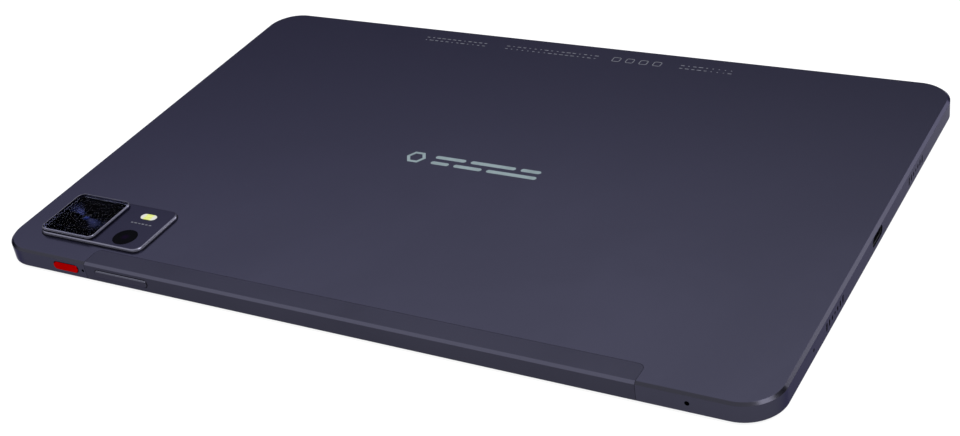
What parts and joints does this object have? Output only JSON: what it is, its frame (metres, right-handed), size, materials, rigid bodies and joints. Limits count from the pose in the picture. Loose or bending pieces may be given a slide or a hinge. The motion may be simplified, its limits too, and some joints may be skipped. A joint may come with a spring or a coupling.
{
  "type": "tablet computer",
  "caption": "Flat tablet computer with a metal rear cover, a raised camera island, side keys, speaker grilles and a plastic antenna cover, lying on its display.",
  "frame": {"origin": "middle of the display glass's outer face, which the tablet lies on", "axes": "+Z out of the back, +X along the long edge towards the USB-C port, +Y along the short edge away from the side keys"},
  "size_m": [0.257, 0.169, 0.0087],
  "materials": {
    "anodised_aluminium": "fine blasted, dark blue-grey anodised",
    "antenna_plastic": "fine matt, dyed to match the metal",
    "polished_aluminium": "bright cut edge",
    "display_glass": "black bordered, polished",
    "lens_glass": "coated, dark",
    "red_key": "satin red anodised",
    "black_plastic": "fine matt",
    "white_plastic": "clear over white",
    "steel": "satin",
    "board": "solder resist over glass fibre",
    "foil": "laminated pouch foil",
    "flex_amber": "polyimide film",
    "graphite": "matt black",
    "phosphor": "yellow phosphor"
  },
  "bodies": {
    "case": {"rear_cover": "anodised_aluminium", "antenna_cover": "antenna_plastic", "display_glass": "display_glass", "display_bezel": "black_plastic", "lcd_cell": "display_glass", "backlight_guide": "white_plastic", "backlight_pan": "steel", "power_switch": "steel", "volume_up_switch": "steel", "volume_down_switch": "steel", "side_key_flex": "flex_amber", "side_key_bracket": "steel", "camera_island": "anodised_aluminium", "main_lens_frame": "polished_aluminium", "main_lens_glass": "lens_glass", "main_lens_trim": "graphite", "second_lens_glass": "lens_glass", "flash_window": "white_plastic", "flash_led": "phosphor", "main_camera_housing": "black_plastic", "main_camera_sensor_board": "flex_amber", "second_camera_module": "black_plastic", "front_camera_module": "black_plastic", "main_board": "board", "processor_shield": "steel", "power_shield": "steel", "radio_shield": "steel", "heat_spreader": "graphite", "card_reader": "steel", "board_link_flex": "flex_amber", "display_flex": "flex_amber", "sub_board": "board", "usb_port_shell": "steel", "usb_port_tongue": "black_plastic", "main_board_screw_1": "steel", "main_board_screw_2": "steel", "main_board_screw_3": "steel", "main_board_screw_4": "steel", "sub_board_screw_1": "steel", "sub_board_screw_2": "steel", "battery_cell_left": "foil", "battery_cell_right": "foil", "battery_board": "board", "speaker_port_end_key_side": "black_plastic", "speaker_port_end_tray_side": "black_plastic", "speaker_camera_end_key_side": "black_plastic", "speaker_camera_end_tray_side": "black_plastic", "speaker_mesh_port_end_key_side": "graphite", "speaker_mesh_port_end_tray_side": "graphite", "speaker_mesh_camera_end_key_side": "graphite", "speaker_mesh_camera_end_tray_side": "graphite", "microphone_keys": "steel", "microphone_edge": "steel", "microphone_port": "steel", "mobile_antenna_carrier": "black_plastic", "wifi_antenna_carrier": "black_plastic"},
    "power_button": {"power_button": "red_key"},
    "volume_rocker": {"volume_rocker": "antenna_plastic"},
    "card_tray": {"card_tray": "anodised_aluminium"},
    "focus_barrel": {"main_camera_lens_barrel": "black_plastic"}
  },
  "joints": [
    {"name": "power_press", "type": "slide", "parent": "case", "child": "power_button", "axis": [0, 1, 0], "range_m": [0, 0.0003], "stiffness_N_per_m": 5000},
    {"name": "volume_rock", "type": "hinge", "parent": "case", "child": "volume_rocker", "pos_m": [-0.0779, -0.0826, 0.00355], "axis": [0, 0, 1], "range_deg": [-1.5, 1.5], "stiffness_Nm_per_rad": 0.25},
    {"name": "card_tray_slide", "type": "slide", "parent": "case", "child": "card_tray", "axis": [0, 1, 0], "range_m": [0, 0.024]},
    {"name": "focus", "type": "slide", "parent": "case", "child": "focus_barrel", "axis": [0, 0, 1], "range_m": [0, 0.00025], "stiffness_N_per_m": 40}
  ]
}
